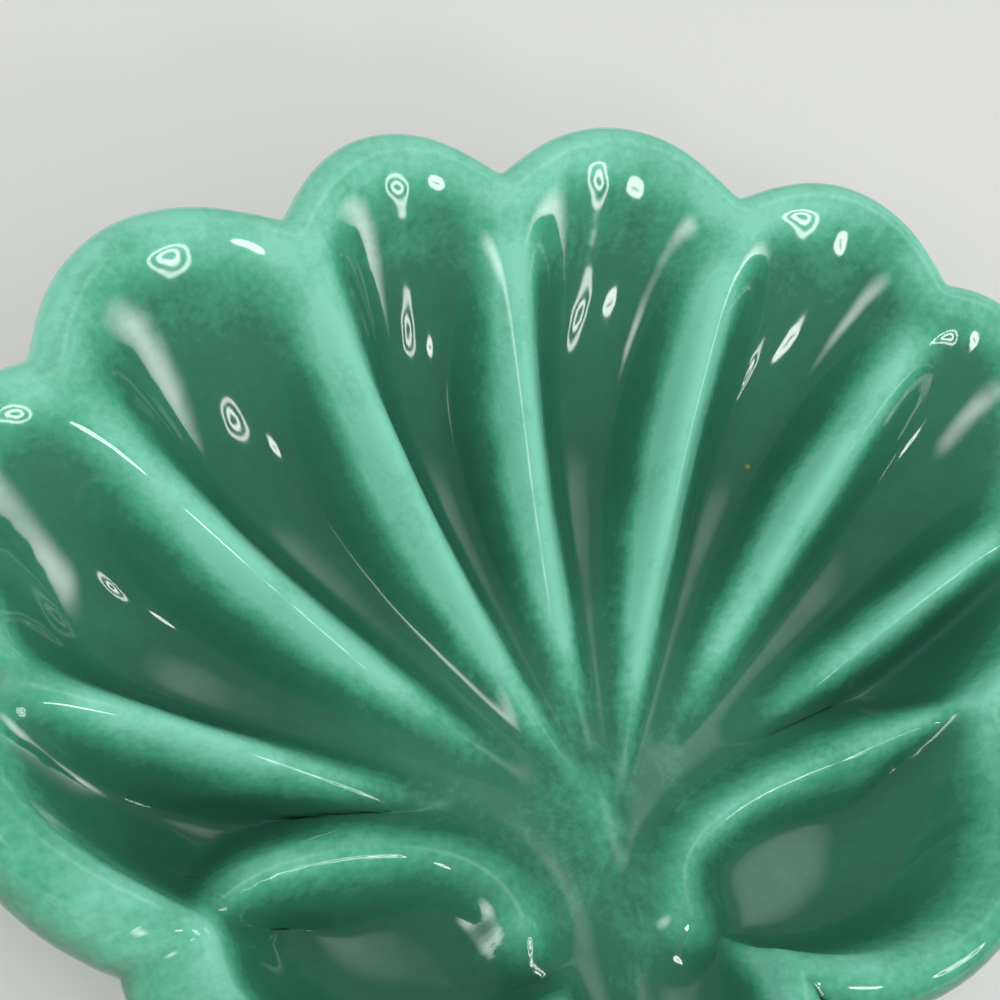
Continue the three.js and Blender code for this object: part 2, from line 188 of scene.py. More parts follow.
def small_forms(x, y):
    """A bell-shaped stripe along the tongue, faded at both ends, plus a round swelling at the hub."""
    off = (x + STRIPE_LEFT - STRIPE_LEAN * np.minimum(y, 0)) / STRIPE_SPREAD
    length = ease(STRIPE_FROM, STRIPE_FULL, y) * ease(STRIPE_ENDS, STRIPE_FADES, y)
    hub = ((x + HUB_LEFT) ** 2 + (y - HUB_AHEAD) ** 2) / HUB_SPREAD ** 2
    return STRIPE_RISE * np.exp(-(off ** 2)) * length + HUB_RISE * np.exp(-hub)


print("small forms at the hinge point:", round(float(small_forms(0.0, 0.0)), 2), "mm high")

# %% [markdown]
# ## Flutes and ridges
# Along a flute the floor stays low and then sweeps up to the lip; the ridge beside it leaves the floor
# sooner and climbs more evenly. The ridges keep about one width, so a flute gets a flat floor as it
# widens. Flutes could be lofted one by one, but one height formula gives the whole bowl, so no seam can
# open between them.

# %% Height of the bowl
VALLEY_START = 0.22                   # share of the way to the lip where the floor starts to climb
LIP_ROLL, LIP_ROLL_POWER = 0.16, 16.0
RIDGE_POWER, RIDGE_GAP = 1.5, 20.0    # flutes wider than the gap have a floor between the ridges
UNDER_RIDGE, UNDER_NARROW = 0.65, 0.5
UNDER_FROM, UNDER_FULL = 0.42, 0.8    # shares of the way between which grooves show outside
EAR_UNION = 6                         # sharpness of the join between an ear ridge and the wall


def bowl(s, phi, carrier=False):
    """Point of the bowl. Height = rim height x (valley climb + ridge climb near a notch), joined with
    the ear ridges by a soft maximum, plus the small forms.
    The carrier leaves out the ears and small forms: it is the sheet that the underside follows."""
    radius, height = lip_edge(phi)
    i, j, u = lobe_at(phi)
    x, y = s * radius * np.sin(phi), s * radius * np.cos(phi)
    climb = np.maximum(0, (s - VALLEY_START) / (1 - VALLEY_START))
    steepness = OUTSIDE_POWER if carrier else WALL_POWER
    power = mix(steepness[i], steepness[j], ease(0, 1, u))
    valley = (1 + LIP_ROLL) * climb ** power - LIP_ROLL * climb ** LIP_ROLL_POWER
    near = np.where(u < 0.5, i, j)
    start = RIDGE_START[near] / radius
    way = np.maximum(0, (s - start) / (1 - start))
    ridge = way ** RIDGE_POWER * (1 + RIDGE_EARLY[near] * (1 - way))
    fluted = (near < FIRST_EAR) | (near > LAST_EAR_END)
    gap = s * radius * np.mod(NOTCH_ANGLE[j] - NOTCH_ANGLE[i], TAU) / RIDGE_GAP
    narrow = UNDER_NARROW if carrier else RIDGE_NARROW[near]
    crest = ((1 + np.cos(TAU * u)) / 2) ** (1 + narrow * gap ** 2)
    softened = UNDER_RIDGE * ease(UNDER_FROM, UNDER_FULL, s) if carrier else 1.0
    z = height * (valley + np.where(fluted, (ridge - valley) * crest * softened, 0))
    if not carrier:
        ears = sum(ear_ridge(x, y, **ear) ** EAR_UNION for ear in EARS)
        z = (z ** EAR_UNION + ears) ** (1 / EAR_UNION) + small_forms(x, y)
    return np.stack(np.broadcast_arrays(x, y, z), axis=-1)


first_flute = bowl(np.linspace(0, 1, 5)[:, None], NOTCH_ANGLE[None, 1:2] / 2)
print("heights up one flute:", np.round(first_flute[:, 0, 2], 1), "mm")

# %% Normals and parallel steps
SMALL_STEP = 1e-3                     # in share of the way and in radians
MOST_ASKEW = 0.6                      # a parallel step grows no further than this allows


def upward_normal(s, phi, carrier):
    """Unit normal of the bowl, from the cross product of two small steps along its parameters."""
    h = SMALL_STEP
    s = np.minimum(s, 1 - h)
    along = bowl(s + h, phi, carrier) - bowl(s - h, phi, carrier)
    around = bowl(s, phi + h, carrier) - bowl(s, phi - h, carrier)
    n = np.cross(around, along)
    n /= np.linalg.norm(n, axis=-1, keepdims=True)
    return np.where(n[..., 2:] < 0, -n, n)


def plumb_step(direction, phi, distance):
    """Step to a parallel surface that stays in the upright plane of its angle. It is longer where the
    surface runs askew to that plane."""
    sideways = np.stack(np.broadcast_arrays(np.cos(phi), -np.sin(phi), 0 * phi), axis=-1)
    step = direction - sideways * np.sum(direction * sideways, axis=-1, keepdims=True)
    share = np.linalg.norm(step, axis=-1, keepdims=True)
    return step * distance / (share * np.maximum(share, MOST_ASKEW))


half_way_up = upward_normal(0.5, NOTCH_ANGLE[1:2] / 2, False)[0]
print("normal half way up the first flute:", np.round(half_way_up, 2))

# %% [markdown]
# ## The clay skin
# The skin is a grid of rows: up the bowl, over the lip in a half circle, down the outside, round the
# foot ring and into the well. Outside, clay fills the deep notch beside each ear. A thickness modifier
# could make the wall, but it would pinch in the notches, so the outside is a sheet of its own that runs
# one wall below a softer bowl.

# %% Angles and foot ovals
FOOT_LENGTH, FOOT_DEPTH, FOOT_WIDTH, FOOT_HEIGHT = 72.0, 50.0, 5.0, 2.2
FOOT_FORWARD = 12.15                  # middle of the foot ring ahead of the hinge point
STEPS_PER_LOBE, STEPS_PER_EAR = 34, 30
NOTCH_CROWDING = 0.35                 # how much closer the angles lie at the notches


def angles_round():
    """Angles round the dish, closer together at the notches, where the lip turns sharply."""
    parts = []
    for i, start in enumerate(NOTCH_ANGLE):
        end = TAU if i + 1 == len(NOTCH_ANGLE) else NOTCH_ANGLE[i + 1]
        steps = STEPS_PER_EAR if i in (TONGUE - 1, TONGUE, TONGUE + 1) else STEPS_PER_LOBE
        u = np.arange(steps) / steps
        parts.append(start + (u - NOTCH_CROWDING * np.sin(TAU * u) / TAU) * (end - start))
    return np.concatenate(parts)


def foot_oval(phi, margin):
    """Distance from the hinge point to an oval round the middle of the foot, grown by a margin: the far
    root of the equation for a ray and an ellipse."""
    half_length, half_depth = FOOT_LENGTH / 2 + margin, FOOT_DEPTH / 2 + margin
    dx, dy, back = np.sin(phi) / half_length, np.cos(phi) / half_depth, FOOT_FORWARD / half_depth
    a, b = dx * dx + dy * dy, dy * back
    return (b + np.sqrt(b * b - a * (back * back - 1))) / a


def ring_row(phi, margin, z):
    """One row of points on a foot oval at a height."""
    r = foot_oval(phi, margin)
    return np.stack(np.broadcast_arrays(r * np.sin(phi), r * np.cos(phi), z), axis=-1)


angles = angles_round()
print("points round the dish:", len(angles))

# %% Rows under the glaze
GLAZE_CUT_BACK = 0.7                  # bare clay wiped clean beside the foot ring
EAR_WEB, EAR_WEB_DROP = 6.0, 6.0      # clay that fills the notches beside the ears, and its droop
EAR_WEB_SPREAD = np.radians(10)
WEB_AT_LIP, WEB_FULL, WEB_ENDS = 0.45, 0.7, 0.15
INNER_ROWS, LIP_ROWS, OUTER_ROWS = 76, 14, 26
ROW_CROWDING = 0.85                   # below 1 the rows lie closer together towards the lip


def underside(share, phi):
    """Outside of the clay: the carrier sheet stepped down by the wall, from the foot (0) to the lip (1),
    and moved outwards by the web beside the ears."""
    last = foot_oval(phi, GLAZE_CUT_BACK) / lip_edge(phi)[0]
    s = mix(last, 1.0, share)
    skin = bowl(s, phi, True) - plumb_step(upward_normal(s, phi, True), phi, WALL)
    beside = (NOTCH_ANGLE[FIRST_EAR], NOTCH_ANGLE[LAST_EAR_END])
    near = sum(np.exp(-(((phi - notch) / EAR_WEB_SPREAD) ** 2)) for notch in beside)
    low = np.clip((1 - share) / (1 - WEB_FULL), 0, 1)
    web = EAR_WEB * near * mix(WEB_AT_LIP, 1, low * (2 - low)) * ease(WEB_ENDS, WEB_FULL, share)
    drop = EAR_WEB_DROP * near * ease(WEB_FULL, 1, share)
    return skin + np.stack(np.broadcast_arrays(np.sin(phi) * web, np.cos(phi) * web, -drop), axis=-1)


def rolled_lip(inside, outside):
    """Half circle from the inner edge over to the outer edge, as deep as half the wall."""
    half = (inside - outside) / 2
    out = np.cross(half, np.roll(inside, -1, axis=0) - np.roll(inside, 1, axis=0))
    out /= np.linalg.norm(out, axis=-1, keepdims=True)
    turns = np.pi * np.arange(1, LIP_ROWS)[:, None, None] / LIP_ROWS
    crown = plumb_step(out, angles, WALL / 2)
    return (inside + outside) / 2 + half * np.cos(turns) + crown * np.sin(turns)


s_rows = (np.arange(1, INNER_ROWS + 1) / INNER_ROWS) ** ROW_CROWDING
inner = bowl(s_rows[:, None], angles[None, :])
outer = underside(np.linspace(1, 0, OUTER_ROWS + 1)[:, None], angles[None, :])
coated = np.concatenate([inner, rolled_lip(inner[-1], outer[0]), outer])
print("rows under the glaze:", coated.shape[0])

# %% [markdown]
# ## The foot ring
# The dish stands on a raised oval ring, wiped clean so that it doesn't melt to the kiln shelf. A bevel
# modifier could round its edges, but the same rows can carry on round two quarter circles, so the ring
# stays part of the one closed skin.

# %% Rows of the foot ring
STANDING = -WALL - FOOT_HEIGHT
SOFT_EDGE = 0.7                       # rounding that sponging leaves on the ring
QUARTER_STEPS = 5


def foot_rows(phi):
    """Foot ring: down its outside, round the sponged edge, across, round the inner edge, into the well."""
    quarter = np.linspace(0, np.pi / 2, QUARTER_STEPS)
    by_cosine, by_sine = SOFT_EDGE * (1 - np.cos(quarter)), SOFT_EDGE * (1 - np.sin(quarter))
    far = -FOOT_WIDTH
    rows = [np.concatenate([ring_row(phi, 0, 0)[:, :2], outer[-1][:, 2:]], axis=1)]
    rows += [ring_row(phi, -c, STANDING + s) for c, s in zip(by_cosine, by_sine)]
    rows += [ring_row(phi, far + s, STANDING + c) for c, s in zip(by_cosine, by_sine)]
    rows += [ring_row(phi, far, -WALL), ring_row(phi, far - GLAZE_CUT_BACK, -WALL)]
    return np.stack(rows)


foot = foot_rows(angles)
print("foot stands", FOOT_HEIGHT, "mm below the floor's underside, in", len(foot), "rows")

# %% [markdown]
# ## From rows to a closed mesh
# One function turns rows of points into a closed mesh: quads between the rows, a fan of triangles at
# each end point. The faces could be added one by one, but array arithmetic gives the whole index table
# at once. The result goes to Blender in one step, in metres, in the frame of the CAD model.

# %% Mesh from rows


def closed_skin(name, first, rows, last):
    """Mesh object: end point, rows (row, angle, xyz) in millimetres from the hinge point, end point."""
    count, width = rows.shape[:2]
    points = (np.concatenate([first[None], rows.reshape(-1, 3), last[None]]) + HINGE_POINT) * MM
    n = np.arange(width)
    at = 1 + np.arange(count)[:, None] * width
    a, b = at + n, at + (n + 1) % width
    quads = np.stack([a[:-1], b[:-1], b[1:], a[1:]], axis=-1).reshape(-1, 4)
    start = np.stack([0 * n, b[0], a[0]], axis=-1)
    end = np.stack([a[-1], b[-1], 0 * n + len(points) - 1], axis=-1)
    mesh = bpy.data.meshes.new(name)
    mesh.from_pydata(points.tolist(), [], quads.tolist() + start.tolist() + end.tolist())
    mesh.polygons.foreach_set("use_smooth", np.ones(len(mesh.polygons), dtype=bool))
    mesh.update()
    piece = bpy.data.objects.new(name, mesh)
    bpy.context.scene.collection.objects.link(piece)
    print(name, "has", len(quads) * 2 + 2 * width, "triangles")
    return piece


hub_point = bowl(np.zeros(1), np.zeros(1))[0]
well_point = np.array([0.0, 0.0, -WALL])
clay = closed_skin("shell_clay", hub_point, np.concatenate([coated, foot]), well_point)

# %% [markdown]
# ## Where the glass pools
# In the kiln the glaze melts, runs off crests, steep walls and the lip, and gathers in the hollows. So
# each point needs a measure of hollow: how much higher the ground around it is than the point itself.
# This could be painted by hand, but measured on the surface it falls in the right places by itself. One
# number, from 0 on a bare crest to 1 in a deep pool, sets the thickness of the glass and its colour. On
# the outside of the dish the same number also carries painted shade.

# %% Measure of hollow
PLACES_ROUND = 8


def ground(x, y):
    """Height of the bowl at a place seen from above; past the lip it goes on level."""
    angle = np.arctan2(x, y)
    return bowl(np.minimum(np.hypot(x, y) / lip_edge(angle)[0], 1), angle)[..., 2]


def hollow(points, reach):
    """Mean height of places round a point, at a distance, less its own height, over that distance."""
    x, y, z = np.moveaxis(points, -1, 0)
    around = np.linspace(0, TAU, PLACES_ROUND, endpoint=False)
    rise = sum(ground(x + reach * np.cos(a), y + reach * np.sin(a)) for a in around) / PLACES_ROUND
    return (rise - ground(x, y)) / reach


FINE_REACH, BROAD_REACH = 3.5, 8.0    # millimetres: near the lip, and out on the floor
fine_hollow, broad_hollow = hollow(inner, FINE_REACH), hollow(inner, BROAD_REACH)
print("hollow from", round(float(broad_hollow.min()), 2), "to", round(float(broad_hollow.max()), 2))

# %% Glass gathered in hollows
HOLLOW_PULL = 0.3                     # how strongly hollows and crests move the glass
LIP_FROM, LIP_FULL = 0.65, 0.9        # shares of the way between which the lip's pattern takes over
FLOOR_FROM, FLOOR_FULL = 0.3, 0.65    # shares of the way between which hollows start to fill
FLOOR_FILL = 0.4                      # how much they fill by the hinge
LOBE_FROM, LOBE_FULL = 0.15, 0.75     # heights of the sine between a notch and the middle of its lobe
FAN_CREST, FLANK_CREST = 2.0, 0.85    # how bare the crests of the ridges are
FAN_LIP_CREST, FLANK_LIP_CREST = 0.8, 0.45
FLANK_FROM, FLANK_FULL = 0.8, 1.4     # radians from the axis of the shell
CREST_FROM, CREST_FULL = 0.4, 1.4

from_axis = np.abs(np.mod(angles + np.pi, TAU) - np.pi)
flank = ease(FLANK_FROM, FLANK_FULL, from_axis)
by_lip = ease(LIP_FROM, LIP_FULL, s_rows)[:, None]
in_lobe = ease(LOBE_FROM, LOBE_FULL, np.sin(np.pi * lobe_at(angles)[2]))
gathered = HOLLOW_PULL * ((1 + by_lip) * fine_hollow + (1 - by_lip) * broad_hollow)
filling = mix(FLOOR_FILL, 1, ease(FLOOR_FROM, FLOOR_FULL, s_rows))[:, None]
ridge_bare = mix(FAN_CREST, FLANK_CREST, ease(CREST_FROM, CREST_FULL, from_axis))
lip_bare = mix(FAN_LIP_CREST, FLANK_LIP_CREST, flank)
gathered = gathered * np.where(gathered > 0, filling, mix(ridge_bare, lip_bare, by_lip * in_lobe))
print("gathered glass from", round(float(gathered.min()), 2), "to", round(float(gathered.max()), 2))

# %% Glass run off walls and lip, and painted shade outside
LEVEL_POOL = 0.52                     # glass on a level place
WALL_RUN, LIP_RUN, MOST_RUN = 0.14, 0.5, 0.27
LIP_RUN_FROM = 0.86                   # share of the way from which the wall counts as lip
FLANK_RUN = 0.3                       # share of that run on the flanks and ears
RUN_FROM, RUN_FULL = 0.3, 0.9         # radians from the axis between which it falls to that share
HINGE_THIN, HINGE_REACH = 0.08, 22.0
EDGE_THIN, EDGE_FROM = 0.1, 0.95
# Outside of the lip and the wall: partly glass gathered lower down, partly painted shade that darkens the
# outer side, more on the flanks and ears and further down.
FAN_OUTSIDE_POOL_AND_SHADE, FLANK_OUTSIDE_POOL_AND_SHADE, LOW_OUTSIDE_POOL_AND_SHADE = 0.46, 0.72, 0.75
LOW_FROM_LIP = 0.4                    # share of the way down from which the outside is evenly coated and evenly darkened by painted shade
FAN_CROWN, FLANK_CROWN, CROWN_POWER = 0.5, 0.16, 3   # glass lost on the crown of the lip

steep = 1 - upward_normal(s_rows[:, None], angles[None, :], False)[..., 2]
run = np.minimum(mix(WALL_RUN, LIP_RUN, ease(LIP_RUN_FROM, 1, s_rows))[:, None] * steep, MOST_RUN)
run = run * mix(1.0, FLANK_RUN, ease(RUN_FROM, RUN_FULL, from_axis))
by_hinge = np.exp(-np.sum(inner[..., :2] ** 2, axis=-1) / HINGE_REACH ** 2)
at_edge = ease(EDGE_FROM, 1, s_rows)[:, None]
pool_inner = np.clip(LEVEL_POOL + gathered - run - HINGE_THIN * by_hinge - EDGE_THIN * at_edge, 0, 1)
over = np.linspace(0, 1, LIP_ROWS + 1)[1:-1, None]
# Value at the lip's outer edge: glass plus painted shade, darker on the flanks and ears. The lip's rows go
# over from the inner wall's value to this one, so its outer half takes the painted shade too.
outside = mix(FAN_OUTSIDE_POOL_AND_SHADE, FLANK_OUTSIDE_POOL_AND_SHADE, flank)
crown_loss = mix(FAN_CROWN, FLANK_CROWN, flank) * np.sin(np.pi * over) ** CROWN_POWER
lip_pool_and_shade = np.clip(mix(pool_inner[-1], outside, over) - crown_loss, 0, 1)
down = np.linspace(0, 1, OUTER_ROWS + 1)[:, None]
# Down the outside the value climbs to its low level: thicker glass and painted shade on a wall that faces
# away from the light.
outer_pool_and_shade = mix(outside, LOW_OUTSIDE_POOL_AND_SHADE, ease(0, LOW_FROM_LIP, down))
pool_and_shade = np.concatenate([pool_inner, lip_pool_and_shade, outer_pool_and_shade])
print("pooling: mean", round(float(pool_inner.mean()), 2), "spread", round(float(pool_inner.std()), 2))

# %% [markdown]
# ## The coat of glass
# The coat is a thin closed shell that lies on the clay: its outside stands off by the thickness of the
# glass, its inside is the clay's own surface. Paint on the clay would be simpler, but a real coat has
# an edge above the foot and a thickness that catches the light.

# %% The glass skin
GLAZE_THIN, GLAZE_POOLED = 0.35, 0.85   # millimetres of glass
EDGE_ROWS, EDGE_FILM = 4.0, 0.05      # rows in which the coat ends at the foot, and the share left
WAVER, WAVER_BEND = 0.05, 1.3         # millimetres of unevenness, and how it meanders
WAVER_ACROSS, WAVER_ALONG, WAVER_MEANDER = 3.1, 4.2, 5.3


def grid_normals(rows):
    """Unit normals of a grid of rows that closes on itself sideways, turned so that the bowl looks up."""
    around = np.roll(rows, -1, axis=1) - np.roll(rows, 1, axis=1)
    along = np.gradient(rows, axis=0)
    n = np.cross(around, along)
    n = n / np.maximum(np.linalg.norm(n, axis=-1, keepdims=True), 1e-12)
    return n * np.sign(n[0, :, 2].mean())


def waver(x, y):
    """Slow unevenness of the coat: the product of two sines, one of them meandering."""
    meander = WAVER_BEND * np.sin(y / WAVER_MEANDER)
    return WAVER * np.sin(x / WAVER_ACROSS + meander) * np.sin(y / WAVER_ALONG)


ending = np.sqrt(np.clip(np.arange(len(coated))[::-1] / EDGE_ROWS, 0, 1))[:, None]
thickness = mix(GLAZE_THIN, GLAZE_POOLED, pool_and_shade) + waver(coated[..., 0], coated[..., 1])
thickness = thickness * np.maximum(ending, EDGE_FILM)
glass = coated + grid_normals(coated) * thickness[..., None]
glass_top = hub_point + np.array([0, 0, thickness[0].mean()])
glaze = closed_skin("shell_glaze", glass_top, np.concatenate([glass, coated[::-1]]), hub_point)
print("glass from", round(float(thickness.min()), 2), "to", round(float(thickness.max()), 2), "mm thick")

# %% [markdown]
# ## Pooling stored on the mesh
# The colour of the glass has to know where it pools, and its streaks have to run down the wall. A
# texture picture could say so, but two values stored at each point need no picture: the pooling, with
# the painted shade on the outside, and a place in a pattern that is stretched along the flow.

# %% Pooling and flow as attributes
FLOW_ROUND, FLOW_DOWN = 60.0, 0.06    # millimetres of pattern: radius round the dish, and step per row


def store(mesh, name, kind, field, values):
    """Point attribute filled from an array."""
    mesh.attributes.new(name, kind, "POINT").data.foreach_set(field, np.ravel(values).astype(np.float32))


middle = [pool_and_shade[0].mean()]
per_point = np.concatenate([middle, pool_and_shade.ravel(), pool_and_shade[::-1].ravel(), middle])
round_dish = FLOW_ROUND * np.stack([np.sin(angles), np.cos(angles), 0 * angles], axis=-1)
down_wall = FLOW_DOWN * np.arange(len(pool_and_shade))[:, None, None] * np.array([0, 0, 1])
flow = round_dish + down_wall
no_flow = np.zeros((1, 3))
flow_points = np.concatenate([no_flow, flow.reshape(-1, 3), flow[::-1].reshape(-1, 3), no_flow]) * MM
store(glaze.data, "glass_pool_and_shade", "FLOAT", "value", per_point)
store(glaze.data, "glaze_flow", "FLOAT_VECTOR", "vector", flow_points)
print("pooling and flow stored for", len(per_point), "points")

# %% [markdown]
# ## Glaze in the well
# The same glaze fills the well under the dish, cut off from the rest by the bare ring. It could be part
# of the big coat, but the wiped ring lies between them. So it is a thin oval plate of its own, whose
# edge rounds off where the molten glass drew back from the clay.

# %% Well plate
WELL_EDGE = -FOOT_WIDTH - GLAZE_CUT_BACK
WELL_ROUND = 0.6                      # how far in from its edge the plate is full
WELL_ROUND_STEPS = 7
WELL_INNER = (2.0, 4.0)               # two more rows, so that the end fan isn't too long

well_turns = np.linspace(0, np.pi / 2, WELL_ROUND_STEPS)
drawn_back = WELL_EDGE - WELL_ROUND * (1 - np.cos(well_turns))
hanging = -WALL - GLAZE_THIN * np.sin(well_turns)
well_rows = [ring_row(angles, margin, z) for margin, z in zip(drawn_back, hanging)]
well_rows += [ring_row(angles, WELL_EDGE - d, -WALL - GLAZE_THIN) for d in WELL_INNER]
well_bottom = well_point - np.array([0, 0, GLAZE_THIN])
well = closed_skin("well_glaze", well_point, np.stack(well_rows), well_bottom)

# %% [markdown]
# ## Finishes
# Every finish is a small tree of nodes. Trees could be linked by hand in the editor, but a script can be
# read and changed. One function adds a node with its settings and links, and one turns a colour written
# as sRGB hex into the linear numbers that the shader wants.

# %% Node and colour helpers


def colour(code):
    """Linear red, green, blue and alpha of an sRGB hex colour."""
    c = np.array([int(code[k:k + 2], 16) for k in (0, 2, 4)]) / 255
    return (*np.where(c <= 0.04045, c / 12.92, ((c + 0.055) / 1.055) ** 2.4).tolist(), 1.0)


def add(tree, kind, links=None, values=None, **settings):
    """Adds a node with its settings; links join its sockets to other outputs, values fill them."""
    node = tree.nodes.new(kind)
    for key, value in settings.items():
        setattr(node, key, value)
    for socket, value in (values or {}).items():
        node.inputs[socket].default_value = value
    for socket, output in (links or {}).items():
        tree.links.new(output, node.inputs[socket])
    return node


def per_mm(size):
    """Texture scale at which one cell of the pattern is this many millimetres."""
    return 1000.0 / size


def new_finish(name):
    """Empty material and its node tree."""
    material = bpy.data.materials.new(name)
    material.use_nodes = True
    material.node_tree.nodes.clear()
    return material, material.node_tree


print("helpers ready; mid grey is", round(colour("808080")[0], 3), "in linear light")

# %% [markdown]
# ## Copper-green glaze
# A majolica glaze coloured with copper: glossy glass, pale where it is thin and the light clay shines
# through, deep where it pools. It could be clear glass that scatters light, but that is slow and noisy,
# so the depth of colour is looked up from the pooling, which on the outside also holds painted shade.
# Fired glass is never even: it clouds over a centimetre, curdles over a millimetre, runs in faint
# streaks down the wall and carries iron specks.

# %% Depth of the glaze colour
CLOUD_SIZE, CURDLE_SIZE, STREAK_SIZE = 9.0, 1.1, 1.6        # millimetres
CLOUD_SHARE, CURDLE_SHARE, STREAK_SHARE = 0.42, 0.24, 0.10  # how far each moves the depth


def uneven_depth(tree, place):
    """Clouds that go up and down round 0, plus curdling that only adds."""
    clouds = {"Scale": per_mm(CLOUD_SIZE), "Detail": 3.0, "Roughness": 0.55}
    cloud = add(tree, "ShaderNodeTexNoise", {"Vector": place}, clouds)
    grains = {"Scale": per_mm(CURDLE_SIZE), "Detail": 2.0, "Roughness": 0.6}
    curdle = add(tree, "ShaderNodeTexNoise", {"Vector": place}, grains)
    balanced = {1: CLOUD_SHARE, 2: -CLOUD_SHARE / 2}
    uneven = add(tree, "ShaderNodeMath", {0: cloud.outputs["Fac"]}, balanced, operation="MULTIPLY_ADD")
    links = {0: curdle.outputs["Fac"], 2: uneven.outputs[0]}
    return add(tree, "ShaderNodeMath", links, {1: CURDLE_SHARE}, operation="MULTIPLY_ADD").outputs[0]


def pooled_depth(tree, grain):
    """Stored pooling and painted shade + flow streaks + grain, less the mean of the terms that only add."""
    flow = add(tree, "ShaderNodeAttribute", attribute_name="glaze_flow").outputs["Vector"]
    streaks = {"Scale": per_mm(STREAK_SIZE), "Detail": 2.0}
    streak = add(tree, "ShaderNodeTexNoise", {"Vector": flow}, streaks)
    links = {0: streak.outputs["Fac"], 2: grain}
    runs = add(tree, "ShaderNodeMath", links, {1: STREAK_SHARE}, operation="MULTIPLY_ADD")
    pooled_and_shaded = add(tree, "ShaderNodeAttribute", attribute_name="glass_pool_and_shade").outputs["Fac"]
    total = add(tree, "ShaderNodeMath", {0: pooled_and_shaded, 1: runs.outputs[0]}, operation="ADD")
    mean = (CURDLE_SHARE + STREAK_SHARE) / 2
    return add(tree, "ShaderNodeMath", {0: total.outputs[0]}, {1: mean}, operation="SUBTRACT").outputs[0]


def even_depth(tree, grain, pooling):
    """One pooling for the whole piece + grain, less the mean of the grain."""
    level = pooling - CURDLE_SHARE / 2
    return add(tree, "ShaderNodeMath", {0: grain}, {1: level}, operation="ADD").outputs[0]


print("clouds", CLOUD_SIZE, "mm, curdling", CURDLE_SIZE, "mm, streaks", STREAK_SIZE, "mm")

# %% Colour of the glaze
GLAZE_STOPS = ((0.0, "7DCAB1"), (0.25, "4EA585"), (0.5, "34765C"), (0.75, "2F6B55"), (1.0, "2D6954"))
SPECK_SPACING = 13.0                  # millimetres between places where a speck may be
SPECK_CORE, SPECK_RIM = 0.022, 0.04   # shares of that spacing
SPECK_RARE = 0.93                     # share of those places that stay empty
SPECK_COLOUR = "9A8A4A"


def depth_colour(tree, depth):
    """Colour by depth: pale copper green for thin glass, deep green for a pool."""
    ramp = add(tree, "ShaderNodeValToRGB", {"Fac": depth})
    stops = ramp.color_ramp.elements
    while len(stops) < len(GLAZE_STOPS):
        stops.new(0.5)
    for stop, (where, code) in zip(stops, GLAZE_STOPS):
        stop.position, stop.color = where, colour(code)
    return ramp.outputs["Color"]


def with_specks(tree, place, base):
    """A few ochre iron specks: small discs round random places, kept at a rare few of them."""
    cells = add(tree, "ShaderNodeTexVoronoi", {"Vector": place}, {"Scale": per_mm(SPECK_SPACING)})
    disc = {"From Min": SPECK_CORE, "From Max": SPECK_RIM, "To Min": 1.0, "To Max": 0.0}
    speck = add(tree, "ShaderNodeMapRange", {"Value": cells.outputs["Distance"]}, disc)
    lot = add(tree, "ShaderNodeSeparateColor", {"Color": cells.outputs["Color"]}).outputs["Red"]
    few = add(tree, "ShaderNodeMath", {0: lot}, {1: SPECK_RARE}, operation="GREATER_THAN")
    links = {0: speck.outputs[0], 1: few.outputs[0]}
    spotted = add(tree, "ShaderNodeMath", links, operation="MULTIPLY").outputs[0]
    links = {"Factor": spotted, 6: base}
    return add(tree, "ShaderNodeMix", links, {7: colour(SPECK_COLOUR)}, data_type="RGBA").outputs[2]


print("glaze colours:", [code for where, code in GLAZE_STOPS])

# %% Glaze finish
RIPPLE_SIZE = 6.0                     # millimetres
GLASS_GLOSS = {"Roughness": 0.06, "IOR": 1.52}
WELL_POOL = 0.59                      # even pooling of the plate in the well


def glaze_finish(name, pooling=None):
    """Glossy glass that ripples a little; its colour follows the stored pooling and painted shade, or one
    even pooling.
    """
    material, tree = new_finish(name)
    place = add(tree, "ShaderNodeTexCoord").outputs["Object"]
    grain = uneven_depth(tree, place)
    depth = pooled_depth(tree, grain) if pooling is None else even_depth(tree, grain, pooling)
    tint = with_specks(tree, place, depth_colour(tree, depth))
    waves = {"Scale": per_mm(RIPPLE_SIZE), "Detail": 1.0}
    wave = add(tree, "ShaderNodeTexNoise", {"Vector": place}, waves).outputs["Fac"]
    ripple = add(tree, "ShaderNodeBump", {"Height": wave}, {"Strength": 0.10, "Distance": 0.0008})
    links = {"Base Color": tint, "Normal": ripple.outputs["Normal"]}
    shader = add(tree, "ShaderNodeBsdfPrincipled", links, GLASS_GLOSS)
    add(tree, "ShaderNodeOutputMaterial", {"Surface": shader.outputs["BSDF"]})
    return material


copper_glaze = glaze_finish("copper_green_majolica_glaze")
well_finish = glaze_finish("copper_green_glaze_in_well", WELL_POOL)
print("glaze finishes:", copper_glaze.name, well_finish.name)

# %% [markdown]
# ## Bare earthenware
# Where the foot was wiped before firing, the biscuit shows: cream, dry and a little gritty, slightly
# stained by handling. A plain cream would do from far off, but two sizes of noise, one for the stains
# and one for the grit, keep it from looking like plastic.

# %% Clay finish
STAIN_SIZE, GRIT_SIZE = 7.0, 0.5      # millimetres
STAINED, CLEAN = (0.3, "CDBFA6"), (0.7, "E9DFCC")
DRY_CLAY = {"Roughness": 0.85, "IOR": 1.5}


